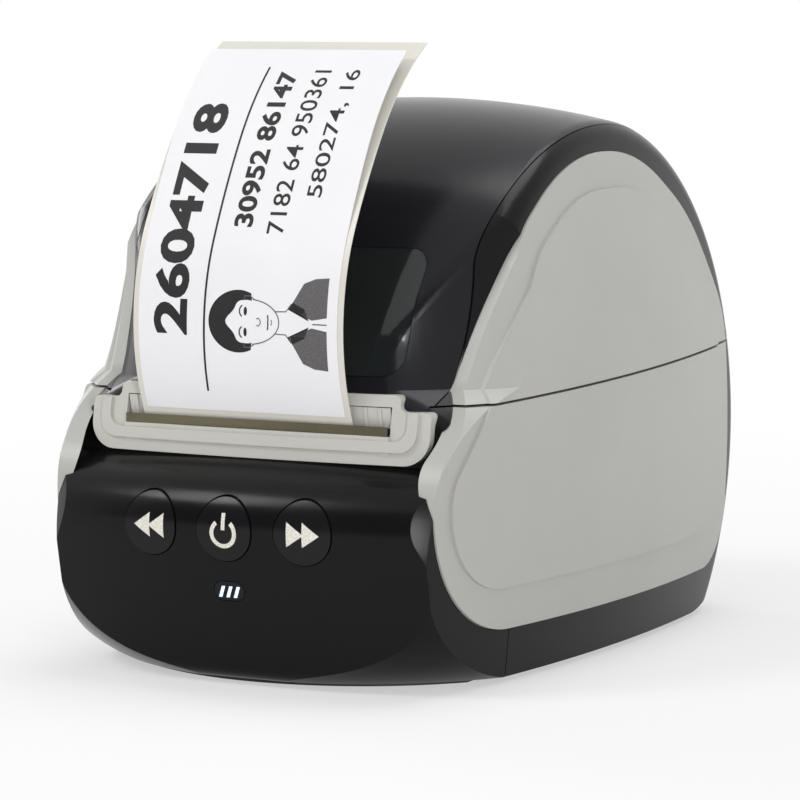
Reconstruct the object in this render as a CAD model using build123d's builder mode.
from build123d import *
from math import asin, atan2, cos, degrees, hypot, radians, sin, sqrt, tan
import os

# Desktop label printer, in millimetres: +Z up, front towards -Y,
# origin on the table under the middle of the machine.

# Casing: a crowned drum for the dome, a bulging nose for the buttons, bowed sides
front_y = -93.5
dome_y = 9.0
top_z = 137.2
dome_front_radius = 89.7
dome_rear_radius = 84.5
dome_crown = 232.0
nose_crown, nose_swing = 240.0, 20.0
nose_low_back = 7.0
nose_corner = (-95.6, 46.0)
nose_crease = (-79.5, 54.0)
nose_low_round, nose_round, crease_round = 4.0, 14.0, 2.0
nose_back_rise = 6.0
nose_back_y = -30.0
base_z = 1.4
heel_y, heel_z = 53.0, 42.0
shell_half_width, drum_half_width = 60.5, 65.5
side_middle = 11.0
side_bow = 490.0
side_lean = 450.0
side_lean_z = 45.0
side_end = 110.0
corner_y = -22.0
corner_foot, corner_waist, corner_shoulder, corner_neck = 63.0, 82.5, 62.4, 57.5
corner_waist_z, corner_shoulder_z, corner_neck_z = 32.0, 71.0, 100.0
dome_rim_z, flank_slope = 62.0, 0.45
edge_radius = 6.0
wall = 2.4

# Split between cover and lower casing, and the seams of the casing
split_y, split_z = -80.0, 67.2
split_tilt = 1.67
split_gap = 0.4
seam_half_width, seam_bow = 50.6, 560.0
seam_gap = 0.3
front_seam_y = -53.5
seat_gap = 0.15
fit_gap = 0.2

# Grey side panels
panel_outline = [(-85.2, 13.6), (-85.2, 51.5), (-63.8, 72.0), (-44.5, 106.9), (-17.5, 124.6), (21.0, 124.6),
                 (52.2, 107.1), (76.2, 79.0), (73.2, 13.2)]
panel_corners = [30.0, 16.0, 14.0, 30.0, 65.0, 65.0, 60.0, 22.0, 18.0]
field_outline = [(-80.0, 23.8), (-80.0, 49.0), (-62.5, 69.5), (-38.5, 102.3), (-16.0, 115.6), (18.0, 115.6),
                 (45.0, 101.0), (65.5, 76.0), (63.0, 23.8)]
field_corners = [20.0, 12.0, 40.0, 24.0, 50.0, 50.0, 45.0, 16.0, 14.0]
panel_seat = 1.2
panel_stand = 3.0
rim_stand = 2.2
panel_bow, panel_lean = 411.0, 358.0
panel_split_gap = 0.6
panel_inner_x = 30.0

# Bezel and paper slot
bezel_half_width = 46.0
bezel_crown = 420.0
bezel_round, notch_round = 6.5, 1.6
bezel_low_z = 53.9
bezel_side_z = 66.4
notch_half_width = 38.0
notch_z = 70.2
tongue_half_width, tongue_top_z = 43.5, 70.0
bezel_back_y = -60.0
slot_half_width = 36.0
slot_low_z, slot_high_z = 60.6, 67.4
slot_lip_y, slot_lip_depth, slot_lip_height = -79.0, 1.8, 4.6
slot_relief_z = 57.0
ring_low_z, ring_half_width, ring_width = 57.0, 43.0, 2.6
ring_height, ring_length, ring_round = 0.8, 30.0, 4.5
tear_bar_y, tear_bar_thickness = -78.5, 0.6
tear_bar_high_z = 62.8
tear_bar_half = 35.6

# Window in the cover
window_low_z, window_high_z = 74.0, 103.5
window_low_half, window_high_half = 36.0, 37.0
window_round = 5.0
window_lap, window_thickness = 2.5, 3.8
window_from_y = -40.0

# Paper: liner with one printed label standing out of the slot
liner_left, liner_right = -31.0, 26.0
liner_thickness = 0.2
label_margin = 1.5
label_thickness = 0.2
exit_angle = 112.7
exit_run = 15.2
curl = [(51.0, 51.7), (190.0, 8.0), (75.0, 23.0)]
label_run = [(51.0, 46.0), (190.0, 8.0), (75.0, 22.0)]

# Label roll and its spool, in the bay under the cover
roll_y, roll_z = 20.0, 74.0
roll_radius = 34.0
core_radius, core_bore = 14.0, 12.4
rib_radius = 12.3
spindle_radius, journal_radius = 5.0, 3.5
flange_radius, flange_thickness, flange_gap = 24.0, 2.4, 0.2
rib_half_thickness, rib_end_gap = 1.0, 1.0
guide_gap_x, hub_length, hub_wall, lever_half_width, lever_rise = 0.3, 5.2, 2.0, 3.0, 4.0
spindle_end_x, spindle_step = 39.5, 1.0
cheek_x, cheek_thickness = 35.0, 2.4
bay_radius, bay_wall = 44.0, 2.0
bay_mouth_low_z, bay_mouth_high_z = 38.0, 47.5
deck_z, deck_thickness = 62.0, 2.0
deck_front_y, deck_back_y = -46.0, 82.0
cheek_half_length, cheek_rise = 12.0, 9.0
running = 0.05
loose = 0.3

# Print mechanism
platen_y, platen_z = -67.0, 53.5
platen_radius = 6.0
platen_half_length = 31.5
platen_shaft_radius = 2.5
platen_shaft_left_x = -39.5
paper_gap = 0.1
chassis_x, chassis_wall = 36.0, 1.6
chassis_outline = [(-82, 30), (-82, 44), (-76, 57), (-60, 60), (-48, 50), (-48, 5.7), (-72, 5.7), (-78, 22)]
chassis_floor_front_y, chassis_floor_back_y, chassis_side_gap = -72.0, -48.0, 1.0
bush_radius, bush_wall, bush_lip = 4.6, 1.0, 0.6
gear_inner_x, gear_outer_x, gear_face = 38.6, 42.0, 3.0
gear_module = 0.6
tooth_depth, tooth_gap, tip_relief = 1.1, 0.84, 0.04
platen_teeth, idler_small_teeth, idler_big_teeth, motor_teeth = 20, 14, 36, 12
idler_y, idler_z = -62.0, 44.6
motor_y, motor_z = -54.0, 32.6
idler_pin_radius = 1.5
motor_radius, motor_left_x, motor_shaft_radius, motor_hole_radius = 11.0, 20.0, 1.2, 4.6
motor_end_wall, motor_gap = 4.0, 0.2
head_angle = 236.2
ceramic_width, ceramic_length, ceramic_thickness = 66.0, 12.0, 1.0
ceramic_distance = 6.5
sink_width, sink_length, sink_thickness = 64.0, 13.0, 5.0
bracket_thickness, head_bracket_width = 1.2, 68.0
spring_x, spring_radius, spring_wire, spring_length = 22.0, 2.4, 0.8, 4.0
crossbar_length, crossbar_thickness = 6.0, 1.6
guide_thickness, guide_gap, guide_side_gap = 1.2, 0.4, 1.0
guide_from, lower_guide_length, upper_guide_length = 34.0, 46.0, 40.0
label_lead = 0.4
sensor_left, sensor_right, sensor_front_y, sensor_back_y = -7.0, 3.0, -40.0, -33.0
sensor_low_z, sensor_high_z = 37.0, 42.4

# Base, boards and ports
foot_radius, foot_height, foot_bevel = 6.5, 1.6, 0.4
foot_x, foot_front_y, foot_back_y = 30.0, -58.0, 42.0
plate_z, plate_thickness, plate_half_width, plate_back_y = 0.4, 2.2, 47.0, 50.0
plate_margin, plate_round = 3.0, 10.0
screw_front, screw_rear = (41.0, -60.0), (43.0, 20.0)
lip_inset, lip_z = 8.0, 5.2
board_z, board_thickness = 10.0, 1.6
board_half_width, board_front_y, board_back_y = 45.0, -20.0, 66.0
post_radius, screw_radius = 3.2, 1.2
screw_head_radius, screw_head_height, screw_sink = 2.6, 1.6, 1.0
screw_top_z, boss_top_z = 9.0, 9.4
stand_x, stand_front_y, stand_back_y = 34.0, -14.0, 34.0
pad_x, pad_front_y, pad_back_y, pad_z = 20.0, -64.0, -52.0, 5.7
rating_half_width, rating_front_y, rating_back_y, rating_thickness = 30.0, -20.0, 15.0, 0.2
board_plugs, plug_front_y, plug_back_y, plug_height = [(-30.0, -14.0), (-12.0, 12.0)], -18.0, -12.0, 3.0
chip_place, chip_height = (14.0, 30.0, 8.0, 24.0), 1.4
capacitor_x, capacitor_y, capacitor_radius, capacitor_height = (16.0, 27.0, 38.0), 50.0, 4.0, 9.0
port_left, port_right, port_low_z, port_high_z, port_depth_y = -42.0, 4.0, 12.0, 30.0, 72.0
port_wall, port_top_z = 2.0, 24.0
data_x, data_half_width, data_depth = -28.0, 6.0, 17.0
power_x, power_half_width, power_depth = -9.0, 5.0, 15.0
data_mouth_half, data_mouth_low_z, data_mouth_high_z, socket_depth = 4.2, 13.6, 22.4, 8.0
data_tongue_half, data_tongue_low_z, data_tongue_high_z = 2.8, 16.0, 20.0
power_hole_z, power_hole_radius, power_pin_radius, power_hole_depth = 17.8, 3.2, 1.0, 10.0

# Buttons, in a row on the nose
button_radius, button_pitch, button_z = 7.3, 20.65, 38.1
button_hole_radius = 7.6
button_tilt, button_turn = 12.6, 4.9
button_stand, button_depth = 0.35, 3.6
button_reach = 20.0
flange_reach = 8.6
stem_radius = 2.2
stem_end_y = -86.9
switch_side, switch_depth = 6.0, 3.4
front_board_y, front_board_half, front_board_low_z, front_board_high_z = -82.0, 33.0, 27.0, 46.0
board_boss_x, board_boss_z, board_boss_radius = 29.5, 30.0, 2.6
status_z, status_back_y, status_length, status_height = 23.4, -84.0, 8.0, 4.6

# Flat cables in side view, from the plugs on the main board to the front
head_cable_path = [(-71.0, 34.0), (-70.6, 34.0), (-65.6, 14.6), (-15.0, 15.1), (-15.0, 14.7),
                   (-66.0, 14.2)]
head_cable_left, head_cable_right = -10.0, 10.0
button_cable_path = [(-80.4, 30.0), (-80.0, 30.0), (-75.6, 12.4), (-15.0, 15.3), (-15.0, 14.9),
                     (-76.0, 12.0)]
button_cable_left, button_cable_right = -28.0, -16.0

# Hinge at the back of the cover
hinge_y, hinge_z = 91.5, 72.2
knuckle_radius, hinge_pin_radius = 2.0, 1.0
knuckle_inner_x, knuckle_middle_x, knuckle_outer_x = 31.5, 37.5, 43.5
knuckle_gap = 0.3
arm_front_y = 84.0
bracket_depth, bracket_drop = 2.4, 14.0
rib_depth, rib_x, rib_thickness = 4.0, 40.0, 3.0
rib_front_y = -74.0

reach = 160.0


def box(x0, x1, y0, y1, z0, z1, mode=Mode.ADD):
    with Locations(((x0 + x1) / 2, (y0 + y1) / 2, (z0 + z1) / 2)):
        Box(x1 - x0, y1 - y0, z1 - z0, mode=mode)


def rod(x0, x1, y, z, radius, mode=Mode.ADD):
    with Locations(Location(((x0 + x1) / 2, y, z), (0, 90, 0))):
        Cylinder(radius, x1 - x0, mode=mode)


def post(x, y, z0, z1, radius, mode=Mode.ADD):
    with Locations((x, y, (z0 + z1) / 2)):
        Cylinder(radius, z1 - z0, mode=mode)


def slab(points, x0, x1):
    with BuildPart() as solid:
        with BuildSketch(Plane.YZ.offset(x0)):
            Polygon(*points, align=None)
        extrude(amount=x1 - x0)
    return solid.part


def both_sides(solid):
    return [solid, solid.mirror(Plane.YZ)]


def border(faces):
    edges = faces.edges()
    return edges.filter_by(lambda edge: sum(edge.is_same(other) for other in edges) == 1)


def finish(piece, label):
    piece.part.label = label
    export_step(piece.part, f"parts/{label}.step")


# The casing form: every shell and everything that follows it is cut from these solids
def half_drum(radius, turn, crown_radius=dome_crown):
    half = drum_half_width
    centre_z = top_z - radius[0]
    edge = radius[1] - half**2 / (2 * crown_radius)
    with BuildPart() as solid:
        with BuildSketch(Plane.XZ.offset(-dome_y)):
            with BuildLine():
                crown = [(-half, centre_z + edge), (0, centre_z + radius[1]), (half, centre_z + edge)]
                ThreePointArc(*crown)
                Polyline(crown[2], (half, centre_z), (-half, centre_z), crown[0])
            make_face()
        revolve(axis=Axis((0, dome_y, centre_z), (turn, 0, 0)), revolution_arc=180)
    return solid.part


def nose(inset):
    turn_axis = Axis((0, front_y + nose_crown, 0), (0, 0, 1))
    foot = (front_y + nose_low_back + inset, base_z + inset)
    crease = (nose_crease[0] + inset / 2, nose_crease[1] - inset)
    with BuildPart() as solid:
        with BuildSketch(Plane.YZ):
            with BuildLine():
                FilletPolyline(
                    (nose_back_y, foot[1]),
                    foot,
                    (nose_corner[0] + inset, nose_corner[1] - inset / 2),
                    crease,
                    (nose_back_y, crease[1] + nose_back_rise),
                    radius=[max(nose_low_round - inset, 1), max(nose_round - inset, 1), crease_round],
                )
                Line((nose_back_y, crease[1] + nose_back_rise), (nose_back_y, foot[1]))
            make_face()
        revolve(axis=turn_axis, revolution_arc=2 * nose_swing)
    return solid.part.rotate(turn_axis, -nose_swing)


def bowed_x(half, bow, y):
    return half - bow + sqrt(bow**2 - (y - side_middle) ** 2)


def side_bound(inset, bow=side_bow, lean=side_lean):
    half = shell_half_width - inset
    front, back = ((bowed_x(half, bow - inset, y), y) for y in (-side_end, side_end))
    spin_x = half - lean + inset
    with BuildPart() as solid:
        with BuildSketch(Plane.XY.offset(side_lean_z)):
            with BuildLine():
                ThreePointArc(front, (half, side_middle), back)
                Polyline(back, (spin_x, side_end), (spin_x, -side_end), front)
            make_face()
        revolve(axis=Axis((spin_x, 0, side_lean_z), (0, 1, 0)))
    return solid.part


def cover_middle(grow):
    half = seam_half_width + grow
    front_x, back_x = (bowed_x(half, seam_bow, y) for y in (-side_end, side_end))
    with BuildPart() as solid:
        with BuildSketch():
            with BuildLine():
                ThreePointArc((front_x, -side_end), (half, side_middle), (back_x, side_end))
                ThreePointArc((-front_x, -side_end), (-half, side_middle), (-back_x, side_end))
                Line((front_x, -side_end), (-front_x, -side_end))
                Line((back_x, side_end), (-back_x, side_end))
            make_face()
        extrude(amount=reach)
    return solid.part


def corner_bound(inset):
    foot, waist, shoulder, neck = ((r - inset, z) for r, z in (
        (corner_foot, base_z), (corner_waist, corner_waist_z),
        (corner_shoulder, corner_shoulder_z), (corner_neck, corner_neck_z)))
    with BuildPart() as solid:
        with BuildSketch(Plane.XZ):
            with BuildLine():
                TangentArc(waist, foot, tangent=(0, -1))
                TangentArc(waist, shoulder, tangent=(0, 1))
                TangentArc(neck, shoulder, tangent=(0, -1))
                Polyline(neck, (neck[0], reach), (0, reach), (0, foot[1]), foot)
            make_face()
        revolve(axis=Axis.Z)
    return solid.part.moved(Location((0, corner_y, 0)))


def flank(inset, bow=side_bow, lean=side_lean):
    side = side_bound(inset, bow, lean)
    with BuildPart() as solid:
        box(-reach, reach, corner_y, reach, 0, reach)
        add(corner_bound(inset))
        add(side, mode=Mode.INTERSECT)
        add(side.mirror(Plane.YZ), mode=Mode.INTERSECT)
    return solid.part


def heel(inset):
    radius = heel_z - base_z - inset
    with BuildPart() as solid:
        with BuildSketch(Plane.YZ.offset(-reach)):
            with BuildLine():
                Polyline((-reach, base_z + inset), (heel_y, base_z + inset))
                CenterArc((heel_y, heel_z), radius, -90, 90)
                Polyline(
                    (heel_y + radius, heel_z), (reach, heel_z), (reach, reach), (-reach, reach),
                    (-reach, base_z + inset),
                )
            make_face()
        extrude(amount=2 * reach)
    return solid.part


def machine_body(inset=0.0, side_inset=0.0):
    with BuildPart() as solid:
        add(half_drum((dome_front_radius, dome_front_radius - inset), 1))
        add(half_drum((dome_rear_radius, dome_rear_radius - inset), -1))
        add(nose(inset))
        add(heel(inset), mode=Mode.INTERSECT)
        add(flank(side_inset), mode=Mode.INTERSECT)
    return solid.part


os.makedirs("parts", exist_ok=True)

with BuildPart() as casing:
    add(machine_body())
    flanks = casing.faces().filter_by(lambda face: abs(face.normal_at().X) > flank_slope)
    fillet(border(flanks).filter_by(lambda edge: edge.center().Z > dome_rim_z), edge_radius)
inside = machine_body(wall, wall)
with BuildPart() as shell:
    add(casing.part)
    add(inside, mode=Mode.SUBTRACT)


def split_height(y):
    return split_z + (y - split_y) * tan(radians(split_tilt))


def above_split(lift):
    low = [(-reach, split_height(-reach) + lift), (reach, split_height(reach) + lift)]
    return slab(low + [(reach, 2 * reach), (-reach, 2 * reach)], -reach, reach)


def panel_block(outline, corners, grow=0.0):
    with BuildPart() as solid:
        with BuildSketch(Plane.YZ.offset(panel_inner_x)):
            with BuildLine():
                FilletPolyline(*outline, radius=corners, close=True)
            make_face()
            if grow:
                offset(amount=grow)
        extrude(amount=reach)
        add(flank(panel_seat), mode=Mode.SUBTRACT)
    return solid.part


panel_pocket = panel_block(panel_outline, panel_corners, seat_gap)

# Grey side panels, each in a lower and an upper half
with BuildPart() as side_panel:
    for outline, corners, stand in ((panel_outline, panel_corners, rim_stand),
                                    (field_outline, field_corners, panel_stand)):
        with BuildPart(mode=Mode.PRIVATE) as layer:
            add(panel_block(outline, corners))
            add(flank(-stand, panel_bow, panel_lean), mode=Mode.INTERSECT)
        add(layer.part)
for place, lift, mode in (("lower", -panel_split_gap / 2, Mode.SUBTRACT),
                          ("upper", panel_split_gap / 2, Mode.INTERSECT)):
    with BuildPart() as half_panel:
        add(side_panel.part)
        add(above_split(lift), mode=mode)
    for side, solid in zip(("right", "left"), both_sides(half_panel.part)):
        with BuildPart() as one_panel:
            add(solid)
        finish(one_panel, f"{place}_side_panel_{side}")


def bezel_block(grow):
    with BuildPart() as solid:
        with BuildSketch(Plane.XZ.offset(-bezel_back_y)):
            with BuildLine():
                FilletPolyline(
                    (-bezel_half_width, bezel_low_z), (bezel_half_width, bezel_low_z),
                    (bezel_half_width, bezel_side_z), (notch_half_width, bezel_side_z),
                    (notch_half_width, notch_z), (-notch_half_width, notch_z),
                    (-notch_half_width, bezel_side_z), (-bezel_half_width, bezel_side_z),
                    radius=[bezel_round] * 2 + [notch_round] * 6, close=True,
                )
            make_face()
            if grow:
                offset(amount=grow)
        extrude(amount=reach)
    return solid.part


# Cover: centre shell, the two dark bands beside the panels, and the window
bezel_pocket = bezel_block(seat_gap)
with BuildPart() as cover:
    add(shell.part)
    with BuildPart(mode=Mode.PRIVATE) as cover_zone:
        add(above_split(split_gap / 2))
        box(-tongue_half_width, tongue_half_width, -reach, bezel_back_y,
            bezel_side_z + seat_gap, tongue_top_z)
    add(cover_zone.part, mode=Mode.INTERSECT)
with BuildPart() as cover_cuts:
    add(bezel_pocket)
    for solid in both_sides(panel_pocket):
        add(solid)
    for x in (-knuckle_outer_x - knuckle_gap, knuckle_middle_x):
        box(x, x + knuckle_outer_x - knuckle_middle_x + knuckle_gap, arm_front_y - knuckle_gap, reach,
            0, hinge_z + knuckle_radius + knuckle_gap)


def window_block(grow):
    with BuildPart() as solid:
        with BuildSketch(Plane.XZ.offset(-window_from_y)):
            with BuildLine():
                FilletPolyline(
                    (-window_low_half, window_low_z), (window_low_half, window_low_z),
                    (window_high_half, window_high_z), (-window_high_half, window_high_z),
                    radius=window_round, close=True,
                )
            make_face()
            if grow:
                offset(amount=grow)
        extrude(amount=reach)
    return solid.part


with BuildPart() as cover_shell:
    add(cover.part)
    add(cover_middle(-seam_gap / 2), mode=Mode.INTERSECT)
    add(cover_cuts.part, mode=Mode.SUBTRACT)
    add(window_block(0), mode=Mode.SUBTRACT)
finish(cover_shell, "cover_shell")

with BuildPart() as cover_band:
    add(cover.part)
    box(0, reach, -reach, reach, 0, reach, mode=Mode.INTERSECT)
    add(cover_middle(seam_gap / 2), mode=Mode.SUBTRACT)
    add(cover_cuts.part, mode=Mode.SUBTRACT)
for side, solid in zip(("right", "left"), both_sides(cover_band.part)):
    with BuildPart() as one_band:
        add(solid)
    finish(one_band, f"cover_side_band_{side}")

with BuildPart() as cover_window:
    add(casing.part)
    add(window_block(-seat_gap), mode=Mode.INTERSECT)
    with BuildPart(mode=Mode.PRIVATE) as window_rim:
        add(machine_body(wall + seat_gap, wall + seat_gap))
        add(window_block(window_lap), mode=Mode.INTERSECT)
    add(window_rim.part)
    add(machine_body(window_thickness, window_thickness), mode=Mode.SUBTRACT)
finish(cover_window, "cover_window")

# Cover frame: two ribs that carry the hinge arms
with BuildPart() as cover_frame:
    add(machine_body(wall + seat_gap, wall + seat_gap))
    add(machine_body(wall + rib_depth, wall + rib_depth), mode=Mode.SUBTRACT)
    with BuildPart(mode=Mode.PRIVATE) as rib_zone:
        for x in (-rib_x - rib_thickness, rib_x):
            box(x, x + rib_thickness, rib_front_y, reach, 0, reach)
    add(rib_zone.part, mode=Mode.INTERSECT)
    add(above_split(split_gap), mode=Mode.INTERSECT)
    for x in (-knuckle_outer_x, knuckle_middle_x + knuckle_gap):
        end = x + knuckle_outer_x - knuckle_middle_x - knuckle_gap
        box(x, end, arm_front_y, hinge_y, hinge_z + split_gap, hinge_z + knuckle_radius)
        rod(x, end, hinge_y, hinge_z, knuckle_radius)
        rod(x, end, hinge_y, hinge_z, hinge_pin_radius + running, mode=Mode.SUBTRACT)
finish(cover_frame, "cover_frame")

# Lower casing: a front and a rear housing below the split
plate_top = plate_z + plate_thickness
screw_seat_z = plate_z + screw_sink
board_top = board_z + board_thickness
front_screws = [(x, screw_front[1]) for x in (-screw_front[0], screw_front[0])]
rear_screws = [(x, screw_rear[1]) for x in (-screw_rear[0], screw_rear[0])]
button_places = []
for column, turn in ((-1, -button_turn), (0, 0), (1, button_turn)):
    x = column * button_pitch
    lean = Location((x, front_y, button_z), (0, 0, turn)) * Location((0, 0, 0), (90 + button_tilt, 0, 0))
    button_places.append(lean)


def plate_outline(inset):
    width = 2 * (plate_half_width - inset)
    front_radius = corner_foot - plate_margin - inset
    with BuildSketch() as outline:
        with Locations((0, corner_y)):
            Circle(front_radius)
            Rectangle(width, plate_back_y - inset - corner_y, align=(Align.CENTER, Align.MIN))
            Rectangle(width, 2 * reach, mode=Mode.INTERSECT)
        fillet(outline.vertices().group_by(Axis.Y)[-1], plate_round)
    return outline.sketch


with BuildPart() as lower_casing:
    add(shell.part)
    add(above_split(-split_gap / 2), mode=Mode.SUBTRACT)
    for solid in both_sides(panel_pocket):
        add(solid, mode=Mode.SUBTRACT)
    add(bezel_pocket, mode=Mode.SUBTRACT)
    box(-tongue_half_width - seat_gap, tongue_half_width + seat_gap, -reach, bezel_back_y,
        bezel_side_z, reach, mode=Mode.SUBTRACT)
    for inset, top in ((0, plate_top), (lip_inset, reach / 2)):
        with BuildSketch():
            add(plate_outline(inset - loose))
        extrude(amount=top, mode=Mode.SUBTRACT)

with BuildPart() as front_housing:
    add(lower_casing.part)
    box(-reach, reach, -reach, front_seam_y - seam_gap / 2, 0, reach, mode=Mode.INTERSECT)
    with Locations(*button_places):
        Cylinder(button_hole_radius, button_reach, mode=Mode.SUBTRACT)
    with BuildPart(mode=Mode.PRIVATE) as bosses:
        with Locations(*[Location((x, front_board_y, board_boss_z), (90, 0, 0))
                         for x in (-board_boss_x, board_boss_x)]):
            Cylinder(board_boss_radius, button_reach, align=(Align.CENTER, Align.CENTER, Align.MIN))
        for x, y in front_screws:
            post(x, y, plate_top, boss_top_z, post_radius)
        add(casing.part, mode=Mode.INTERSECT)
        for solid in both_sides(panel_pocket):
            add(solid, mode=Mode.SUBTRACT)
    add(bosses.part)
    with BuildSketch(Plane.XZ.offset(-front_board_y)):
        with Locations((0, status_z)):
            SlotOverall(status_length + 2 * seat_gap, status_height + 2 * seat_gap)
    extrude(amount=button_reach, mode=Mode.SUBTRACT)
    for x, y in front_screws:
        post(x, y, 0, screw_top_z, screw_radius, mode=Mode.SUBTRACT)
finish(front_housing, "front_housing")

with BuildPart() as rear_housing:
    add(lower_casing.part)
    box(-reach, reach, front_seam_y + seam_gap / 2, reach, 0, reach, mode=Mode.INTERSECT)
    with BuildPart(mode=Mode.PRIVATE) as port_tray:
        box(port_left - port_wall, port_right + port_wall, port_depth_y - port_wall, reach,
            port_low_z - port_wall, port_high_z + port_wall)
        add(casing.part, mode=Mode.INTERSECT)
        for x, y in rear_screws:
            post(x, y, plate_top, boss_top_z, post_radius)
    add(port_tray.part)
    box(port_left, port_right, port_depth_y, reach, port_low_z, port_high_z, mode=Mode.SUBTRACT)
    for x, half in ((data_x, data_half_width + fit_gap), (power_x, power_half_width + fit_gap)):
        box(x - half, x + half, port_depth_y - port_wall, port_depth_y, board_top - fit_gap,
            port_top_z + fit_gap, mode=Mode.SUBTRACT)
    for x in (-knuckle_middle_x, knuckle_inner_x - knuckle_gap):
        box(x, x + knuckle_middle_x - knuckle_inner_x + knuckle_gap, arm_front_y - knuckle_gap, reach,
            hinge_z - 2 * knuckle_radius - knuckle_gap, reach, mode=Mode.SUBTRACT)
    for x, y in rear_screws:
        post(x, y, 0, screw_top_z, screw_radius, mode=Mode.SUBTRACT)
finish(rear_housing, "rear_housing")

# Hinge brackets of the lower casing and the pins in them
with BuildPart() as hinge_brackets:
    for x in (-knuckle_middle_x + knuckle_gap, knuckle_inner_x):
        end = x + knuckle_middle_x - knuckle_inner_x - knuckle_gap
        box(x, end, arm_front_y, arm_front_y + bracket_depth, hinge_z - bracket_drop, hinge_z - split_gap)
        box(x, end, arm_front_y, hinge_y, hinge_z - 2 * knuckle_radius, hinge_z - split_gap)
        rod(x, end, hinge_y, hinge_z, knuckle_radius)
        rod(x, end, hinge_y, hinge_z, hinge_pin_radius, mode=Mode.SUBTRACT)
finish(hinge_brackets, "hinge_brackets")

with BuildPart() as hinge_pins:
    rod(-knuckle_outer_x, -knuckle_inner_x, hinge_y, hinge_z, hinge_pin_radius)
    rod(knuckle_inner_x, knuckle_outer_x, hinge_y, hinge_z, hinge_pin_radius)
finish(hinge_pins, "hinge_pins")

# Slot bezel with its raised ring, and the tear bar on its lip
with BuildPart() as slot_bezel:
    add(half_drum((dome_front_radius, dome_front_radius), 1, bezel_crown))
    add(inside, mode=Mode.SUBTRACT)
    add(bezel_block(0), mode=Mode.INTERSECT)
    with BuildPart(mode=Mode.PRIVATE) as ring:
        with BuildSketch(Plane.XZ.offset(-bezel_back_y)):
            for grow, kind in ((0, Mode.ADD), (-ring_width, Mode.SUBTRACT)):
                with Locations((0, ring_low_z - grow)):
                    RectangleRounded(2 * (ring_half_width + grow), ring_length, ring_round + grow / 2,
                                     align=(Align.CENTER, Align.MIN), mode=kind)
        extrude(amount=reach)
        box(-reach, reach, -reach, reach, 0, bezel_side_z, mode=Mode.INTERSECT)
        add(half_drum((dome_front_radius, dome_front_radius + ring_height), 1, bezel_crown),
            mode=Mode.INTERSECT)
        add(half_drum((dome_front_radius, dome_front_radius - wall / 2), 1, bezel_crown), mode=Mode.SUBTRACT)
    add(ring.part)
    box(-slot_half_width, slot_half_width, -reach, bezel_back_y, slot_low_z, slot_high_z,
        mode=Mode.SUBTRACT)
    box(-slot_half_width, slot_half_width, slot_lip_y + slot_lip_depth, bezel_back_y, slot_relief_z,
        slot_low_z, mode=Mode.SUBTRACT)
    box(-slot_half_width, slot_half_width, slot_lip_y, slot_lip_y + slot_lip_depth,
        slot_low_z - slot_lip_height, slot_low_z)
finish(slot_bezel, "slot_bezel")

with BuildPart() as tear_bar:
    box(-tear_bar_half, tear_bar_half, tear_bar_y - tear_bar_thickness / 2,
        tear_bar_y + tear_bar_thickness / 2, slot_low_z, tear_bar_high_z)
finish(tear_bar, "tear_bar")

# Bottom plate, feet and screws
foot_places = [(x, y) for x in (-foot_x, foot_x) for y in (foot_front_y, foot_back_y)]
stand_places = [(x, y) for x in (-stand_x, stand_x) for y in (stand_front_y, stand_back_y)]
pad_places = [(x, y) for x in (-pad_x, pad_x) for y in (pad_front_y, pad_back_y)]
with BuildPart() as bottom_plate:
    with BuildSketch(Plane.XY.offset(plate_z)):
        add(plate_outline(0))
    extrude(amount=plate_thickness)
    with BuildSketch(Plane.XY.offset(plate_z)):
        add(plate_outline(lip_inset))
    extrude(amount=lip_z - plate_z)
    for x, y in stand_places:
        post(x, y, lip_z, board_z, post_radius)
    for x, y in pad_places:
        post(x, y, lip_z, pad_z, post_radius)
    for x, y in foot_places:
        post(x, y, 0, foot_height, foot_radius, mode=Mode.SUBTRACT)
    for x, y in front_screws + rear_screws:
        post(x, y, 0, plate_top, screw_radius, mode=Mode.SUBTRACT)
        post(x, y, 0, screw_seat_z, screw_head_radius, mode=Mode.SUBTRACT)
    for x, y in stand_places + pad_places:
        post(x, y, screw_seat_z, board_z, screw_radius, mode=Mode.SUBTRACT)
finish(bottom_plate, "bottom_plate")

with BuildPart() as rubber_feet:
    for x, y in foot_places:
        post(x, y, 0, foot_height, foot_radius)
    chamfer(rubber_feet.faces().group_by(Axis.Z)[0].edges(), foot_bevel)
finish(rubber_feet, "rubber_feet")

with BuildPart() as base_screws:
    for x, y in front_screws + rear_screws:
        post(x, y, plate_z, screw_seat_z, screw_head_radius)
        post(x, y, screw_seat_z, screw_top_z, screw_radius)
finish(base_screws, "base_screws")

with BuildPart() as rating_plate:
    box(-rating_half_width, rating_half_width, rating_front_y, rating_back_y,
        plate_z - rating_thickness, plate_z)
finish(rating_plate, "rating_plate")

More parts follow.
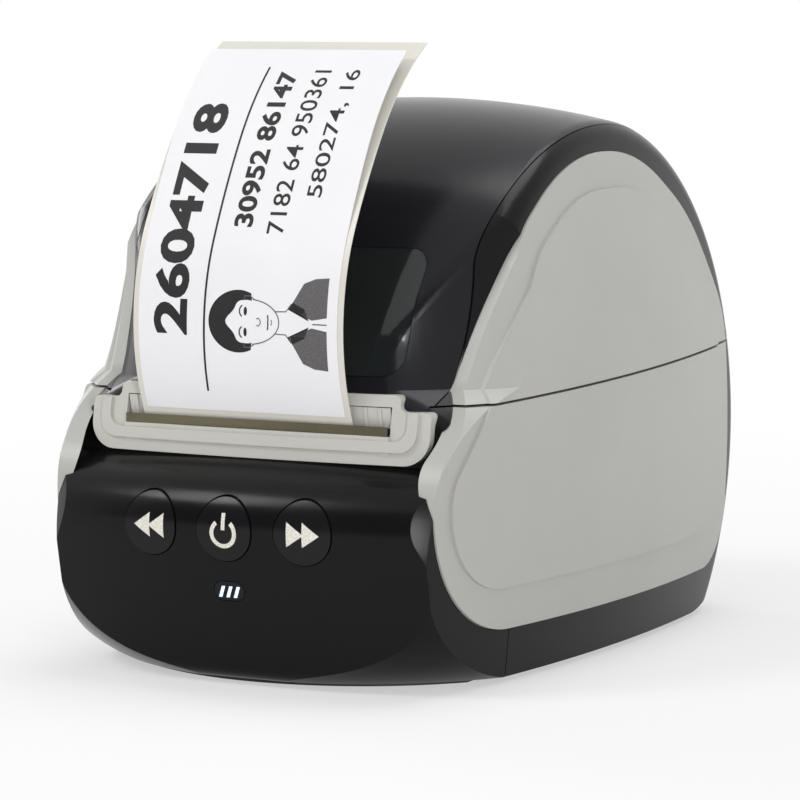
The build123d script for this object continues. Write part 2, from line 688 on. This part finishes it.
# Label bay: trough, cheeks with open bearings, and the deck around them
with BuildPart() as label_bay:
    add(machine_body(wall + loose, wall + loose))
    box(-reach, reach, deck_front_y, deck_back_y, deck_z, deck_z + deck_thickness, mode=Mode.INTERSECT)
    rod(-cheek_x, cheek_x, roll_y, roll_z, bay_radius, mode=Mode.SUBTRACT)
    with BuildPart(mode=Mode.PRIVATE) as trough:
        outer_x = cheek_x + cheek_thickness
        rod(-outer_x, outer_x, roll_y, roll_z, bay_radius + bay_wall)
        rod(-cheek_x, cheek_x, roll_y, roll_z, bay_radius, mode=Mode.SUBTRACT)
        box(-cheek_x, cheek_x, -reach, roll_y, bay_mouth_low_z, bay_mouth_high_z, mode=Mode.SUBTRACT)
        box(-reach, reach, -reach, reach, deck_z + deck_thickness, reach, mode=Mode.SUBTRACT)
    add(trough.part)
    for x in (-outer_x, cheek_x):
        box(x, x + cheek_thickness, roll_y - cheek_half_length, roll_y + cheek_half_length,
            deck_z, roll_z + cheek_rise)
        box(x, x + cheek_thickness, roll_y - journal_radius - running, roll_y + journal_radius + running,
            roll_z, reach, mode=Mode.SUBTRACT)
        rod(x, x + cheek_thickness, roll_y, roll_z, journal_radius + running, mode=Mode.SUBTRACT)
finish(label_bay, "label_bay")

# Spool: spindle with its fixed flange, sliding guide, core and label roll
with BuildPart() as spool_spindle:
    rod(-spindle_end_x, spindle_end_x, roll_y, roll_z, journal_radius)
    rod(-cheek_x + spindle_step, cheek_x - spindle_step, roll_y, roll_z, spindle_radius)
    rib_left, rib_right = liner_left - flange_gap, liner_right - rib_end_gap
    rod(rib_left - flange_thickness, rib_left, roll_y, roll_z, flange_radius)
    for half_y, half_z in ((rib_radius, rib_half_thickness), (rib_half_thickness, rib_radius)):
        box(rib_left, rib_right, roll_y - half_y, roll_y + half_y, roll_z - half_z, roll_z + half_z)
finish(spool_spindle, "spool_spindle")

with BuildPart() as locking_guide:
    guide_left = liner_right + guide_gap_x
    rod(guide_left, guide_left + flange_thickness, roll_y, roll_z, flange_radius)
    rod(guide_left, guide_left + hub_length, roll_y, roll_z, spindle_radius + hub_wall)
    box(guide_left, guide_left + flange_thickness, roll_y - lever_half_width, roll_y + lever_half_width,
        roll_z, roll_z + flange_radius + lever_rise)
    rod(liner_right, cheek_x, roll_y, roll_z, spindle_radius + running, mode=Mode.SUBTRACT)
finish(locking_guide, "locking_guide")

with BuildPart() as roll_core:
    rod(liner_left, liner_right, roll_y, roll_z, core_radius)
    rod(liner_left, liner_right, roll_y, roll_z, core_bore, mode=Mode.SUBTRACT)
finish(roll_core, "roll_core")

with BuildPart() as label_roll:
    rod(liner_left, liner_right, roll_y, roll_z, roll_radius)
    rod(liner_left, liner_right, roll_y, roll_z, core_radius, mode=Mode.SUBTRACT)
finish(label_roll, "label_roll")


# Paper path: straight runs and right-hand bends, from the roll round the platen and out
def ribbon(start, heading, moves, near, far_side, x0, x1):
    with BuildPart() as solid:
        with BuildSketch(Plane.YZ.offset(x0)):
            with BuildLine():
                tips = []
                for gap in (near, far_side):
                    angle = heading
                    at = Vector(start[0] - gap * sin(radians(angle)), start[1] + gap * cos(radians(angle)))
                    tips.append(at)
                    for radius, amount in moves:
                        along = Vector(cos(radians(angle)), sin(radians(angle)))
                        if radius:
                            at = JernArc(at, along, radius + gap, -amount) @ 1
                            angle -= amount
                        else:
                            at = Line(at, at + along * amount) @ 1
                    tips.append(at)
                Line(tips[0], tips[2])
                Line(tips[1], tips[3])
            make_face()
        extrude(amount=x1 - x0)
    return solid


wrap_radius = platen_radius + paper_gap
roll_off_radius = roll_radius + paper_gap
feed_span = hypot(roll_y - platen_y, roll_z - platen_z)
feed_drop = degrees(asin((roll_off_radius - wrap_radius) / feed_span))
feed_heading = 180 + degrees(atan2(roll_z - platen_z, roll_y - platen_y)) - feed_drop
feed_run = sqrt(feed_span**2 - (roll_off_radius - wrap_radius) ** 2)
feed_start = (
    roll_y - roll_off_radius * sin(radians(feed_heading)),
    roll_z + roll_off_radius * cos(radians(feed_heading)),
)
platen_exit = (
    platen_y - wrap_radius * sin(radians(exit_angle)),
    platen_z + wrap_radius * cos(radians(exit_angle)),
)
exit_along = Vector(cos(radians(exit_angle)), sin(radians(exit_angle)))

liner_moves = [(0, feed_run), (wrap_radius, feed_heading - exit_angle), (0, exit_run)] + curl
label_liner = ribbon(feed_start, feed_heading, liner_moves, 0, liner_thickness, liner_left, liner_right)
finish(label_liner, "label_liner")

label_from = Vector(*platen_exit) + exit_along * (exit_run - label_lead)
printed_label = ribbon(
    (label_from.X, label_from.Y), exit_angle, [(0, label_lead)] + label_run, liner_thickness,
    liner_thickness + label_thickness, liner_left + label_margin, liner_right - label_margin,
)
finish(printed_label, "printed_label")

guide_along = (cos(radians(feed_heading)), sin(radians(feed_heading)))
guide_start = tuple(at + guide_from * step for at, step in zip(feed_start, guide_along))
guide_half_width = chassis_x - guide_side_gap
paper_guide_lower = ribbon(
    guide_start, feed_heading, [(0, lower_guide_length)], liner_thickness + guide_gap,
    liner_thickness + guide_gap + guide_thickness, -guide_half_width, guide_half_width,
)
finish(paper_guide_lower, "paper_guide_lower")
paper_guide_upper = ribbon(
    guide_start, feed_heading, [(0, upper_guide_length)], -guide_gap - guide_thickness, -guide_gap,
    -guide_half_width, guide_half_width,
)
finish(paper_guide_upper, "paper_guide_upper")

with BuildPart() as label_sensor:
    box(sensor_left, sensor_right, sensor_front_y, sensor_back_y, sensor_low_z, sensor_high_z)
finish(label_sensor, "label_sensor")

# Print mechanism: chassis, platen, thermal head pressed up by springs
across = Plane(origin=(0, platen_y, platen_z), x_dir=(1, 0, 0),
               z_dir=(0, cos(radians(head_angle)), sin(radians(head_angle))))


def head_layer(width, length, low, high):
    with BuildPart() as layer:
        with BuildSketch(across.offset(low)):
            Rectangle(width, length)
        extrude(amount=high - low)
    return layer.part


sink_distance = ceramic_distance + ceramic_thickness
bracket_distance = sink_distance + sink_thickness
spring_distance = bracket_distance + bracket_thickness
crossbar_distance = spring_distance + spring_length

with BuildPart() as ceramic_head:
    add(head_layer(ceramic_width, ceramic_length, ceramic_distance, sink_distance))
finish(ceramic_head, "ceramic_head")
with BuildPart() as heat_sink:
    add(head_layer(sink_width, sink_length, sink_distance, bracket_distance))
finish(heat_sink, "heat_sink")
with BuildPart() as print_head_bracket:
    add(head_layer(head_bracket_width, crossbar_length, bracket_distance, spring_distance))
finish(print_head_bracket, "print_head_bracket")
with BuildPart() as head_springs:
    with BuildSketch(across.offset(spring_distance)):
        with Locations((-spring_x, 0), (spring_x, 0)):
            Circle(spring_radius)
            Circle(spring_radius - spring_wire, mode=Mode.SUBTRACT)
    extrude(amount=spring_length)
finish(head_springs, "head_springs")

chassis_floor_z = pad_z + chassis_wall
with BuildPart() as print_chassis:
    for x in (-chassis_x - chassis_wall, chassis_x):
        add(slab(chassis_outline, x, x + chassis_wall))
        rod(x, x + chassis_wall, platen_y, platen_z, platen_shaft_radius + bush_wall, mode=Mode.SUBTRACT)
    add(machine_body(wall + chassis_side_gap, wall + chassis_side_gap), mode=Mode.INTERSECT)
    box(-chassis_x, chassis_x, chassis_floor_front_y, chassis_floor_back_y, pad_z, chassis_floor_z)
    add(head_layer(2 * chassis_x, crossbar_length, crossbar_distance,
                   crossbar_distance + crossbar_thickness))
    rod(chassis_x, chassis_x + chassis_wall, idler_y, idler_z, idler_pin_radius, mode=Mode.SUBTRACT)
    rod(chassis_x, chassis_x + chassis_wall, motor_y, motor_z, motor_hole_radius, mode=Mode.SUBTRACT)
    for x, y in pad_places:
        post(x, y, 0, chassis_floor_z, screw_radius, mode=Mode.SUBTRACT)
finish(print_chassis, "print_chassis")

with BuildPart() as chassis_screws:
    for x, y in pad_places:
        post(x, y, screw_seat_z, chassis_floor_z, screw_radius)
        post(x, y, chassis_floor_z, chassis_floor_z + screw_head_height, screw_head_radius)
finish(chassis_screws, "chassis_screws")

with BuildPart() as platen_roller:
    rod(-platen_half_length, platen_half_length, platen_y, platen_z, platen_radius)
    rod(-platen_half_length, platen_half_length, platen_y, platen_z, platen_shaft_radius, mode=Mode.SUBTRACT)
finish(platen_roller, "platen_roller")
with BuildPart() as platen_shaft:
    rod(platen_shaft_left_x, gear_inner_x + gear_face, platen_y, platen_z, platen_shaft_radius)
finish(platen_shaft, "platen_shaft")
with BuildPart() as platen_bushes:
    for x, lip_x in ((-chassis_x - chassis_wall, -chassis_x - chassis_wall - bush_lip),
                     (chassis_x, chassis_x + chassis_wall)):
        rod(x, x + chassis_wall, platen_y, platen_z, platen_shaft_radius + bush_wall)
        rod(lip_x, lip_x + bush_lip, platen_y, platen_z, bush_radius)
    rod(-reach, reach, platen_y, platen_z, platen_shaft_radius + running, mode=Mode.SUBTRACT)
finish(platen_bushes, "platen_bushes")


# Gear train: tips end just inside the pitch circle, so turning teeth never touch
def gear(teeth, x, y, z, bore):
    tip = teeth * gear_module / 2 - tip_relief
    with BuildPart(mode=Mode.PRIVATE) as wheel:
        rod(x, x + gear_face, y, z, tip)
        with BuildSketch(Plane.YZ.offset(x)):
            with Locations((y, z)):
                with PolarLocations(tip, teeth):
                    Rectangle(2 * tooth_depth, tooth_gap)
        extrude(amount=gear_face, mode=Mode.SUBTRACT)
        rod(x, x + gear_face, y, z, bore, mode=Mode.SUBTRACT)
    return wheel.part


with BuildPart() as platen_gear:
    add(gear(platen_teeth, gear_inner_x, platen_y, platen_z, platen_shaft_radius))
finish(platen_gear, "platen_gear")
with BuildPart() as idler_gear:
    add(gear(idler_small_teeth, gear_inner_x, idler_y, idler_z, idler_pin_radius + running))
    add(gear(idler_big_teeth, gear_outer_x, idler_y, idler_z, idler_pin_radius + running))
    rod(gear_inner_x + gear_face, gear_outer_x, idler_y, idler_z, idler_pin_radius + bush_wall)
    rod(gear_inner_x, gear_outer_x, idler_y, idler_z, idler_pin_radius + running, mode=Mode.SUBTRACT)
finish(idler_gear, "idler_gear")
with BuildPart() as motor_pinion:
    add(gear(motor_teeth, gear_outer_x, motor_y, motor_z, motor_shaft_radius))
    rod(motor_left_x + motor_end_wall, gear_outer_x + gear_face, motor_y, motor_z, motor_shaft_radius)
finish(motor_pinion, "motor_pinion")
with BuildPart() as idler_pin:
    rod(chassis_x, gear_outer_x + gear_face + bush_lip, idler_y, idler_z, idler_pin_radius)
finish(idler_pin, "idler_pin")
with BuildPart() as motor_body:
    rod(motor_left_x, chassis_x - motor_gap, motor_y, motor_z, motor_radius)
    rod(motor_left_x + motor_end_wall - running, chassis_x, motor_y, motor_z,
        motor_shaft_radius + running, mode=Mode.SUBTRACT)
finish(motor_body, "motor_body")

# Main board with its ports
with BuildPart() as main_board:
    box(-board_half_width, board_half_width, board_front_y, board_back_y, board_z, board_z + board_thickness)
    for x0, x1 in board_plugs:
        box(x0, x1, plug_front_y, plug_back_y, board_top, board_top + plug_height)
    box(*chip_place, board_top, board_top + chip_height)
    for x in capacitor_x:
        post(x, capacitor_y, board_top, board_top + capacitor_height, capacitor_radius)
    for x, y in stand_places:
        post(x, y, board_z, board_top, screw_radius, mode=Mode.SUBTRACT)
finish(main_board, "main_board")
with BuildPart() as board_screws:
    for x, y in stand_places:
        post(x, y, screw_seat_z, board_top, screw_radius)
        post(x, y, board_top, board_top + screw_head_height, screw_head_radius)
finish(board_screws, "board_screws")
with BuildPart() as data_port:
    box(data_x - data_half_width, data_x + data_half_width, port_depth_y - data_depth, port_depth_y,
        board_top, port_top_z)
    socket_y = port_depth_y - socket_depth
    box(data_x - data_mouth_half, data_x + data_mouth_half, socket_y, port_depth_y,
        data_mouth_low_z, data_mouth_high_z, mode=Mode.SUBTRACT)
    box(data_x - data_tongue_half, data_x + data_tongue_half, socket_y, port_depth_y,
        data_tongue_low_z, data_tongue_high_z)
finish(data_port, "data_port")
with BuildPart() as power_port:
    box(power_x - power_half_width, power_x + power_half_width, port_depth_y - power_depth, port_depth_y,
        board_top, port_top_z)
    with Locations(Location((power_x, port_depth_y - power_hole_depth / 2, power_hole_z), (90, 0, 0))):
        Cylinder(power_hole_radius, power_hole_depth, mode=Mode.SUBTRACT)
        Cylinder(power_pin_radius, power_hole_depth)
finish(power_port, "power_port")

# Button board and the three buttons on the nose
with BuildPart() as button_board:
    box(-front_board_half, front_board_half, front_board_y, front_board_y + board_thickness,
        front_board_low_z, front_board_high_z)
finish(button_board, "button_board")
with BuildPart() as button_switches:
    for x in (-button_pitch, 0, button_pitch):
        box(x - switch_side / 2, x + switch_side / 2, front_board_y - switch_depth, front_board_y,
            button_z - switch_side / 2, button_z + switch_side / 2)
finish(button_switches, "button_switches")

cap_top = machine_body(-button_stand, 0)
cap_under = machine_body(button_depth, button_depth)
flange_top = machine_body(wall + loose, wall + loose)
for place, label in zip(button_places, ("back_button", "power_button", "feed_button")):
    with BuildPart() as button:
        with BuildPart(mode=Mode.PRIVATE) as flange:
            with Locations(place):
                Cylinder(flange_reach, button_reach)
            add(flange_top, mode=Mode.INTERSECT)
        with Locations(place):
            Cylinder(button_radius, button_reach)
        add(cap_top, mode=Mode.INTERSECT)
        add(flange.part)
        add(cap_under, mode=Mode.SUBTRACT)
        with BuildPart(mode=Mode.PRIVATE) as stem:
            with Locations(place):
                Cylinder(stem_radius, button_reach)
            add(flange_top, mode=Mode.INTERSECT)
            box(-reach, reach, -reach, stem_end_y, 0, reach, mode=Mode.INTERSECT)
        add(stem.part)
    finish(button, label)

with BuildPart() as status_light:
    with BuildSketch(Plane.XZ.offset(-status_back_y)):
        with Locations((0, status_z)):
            SlotOverall(status_length, status_height)
    extrude(amount=button_reach)
    add(casing.part, mode=Mode.INTERSECT)
finish(status_light, "status_light")

# Flat cables from the main board to the head and to the button board
with BuildPart() as head_cable:
    add(slab(head_cable_path, head_cable_left, head_cable_right))
finish(head_cable, "head_cable")
with BuildPart() as button_cable:
    add(slab(button_cable_path, button_cable_left, button_cable_right))
finish(button_cable, "button_cable")
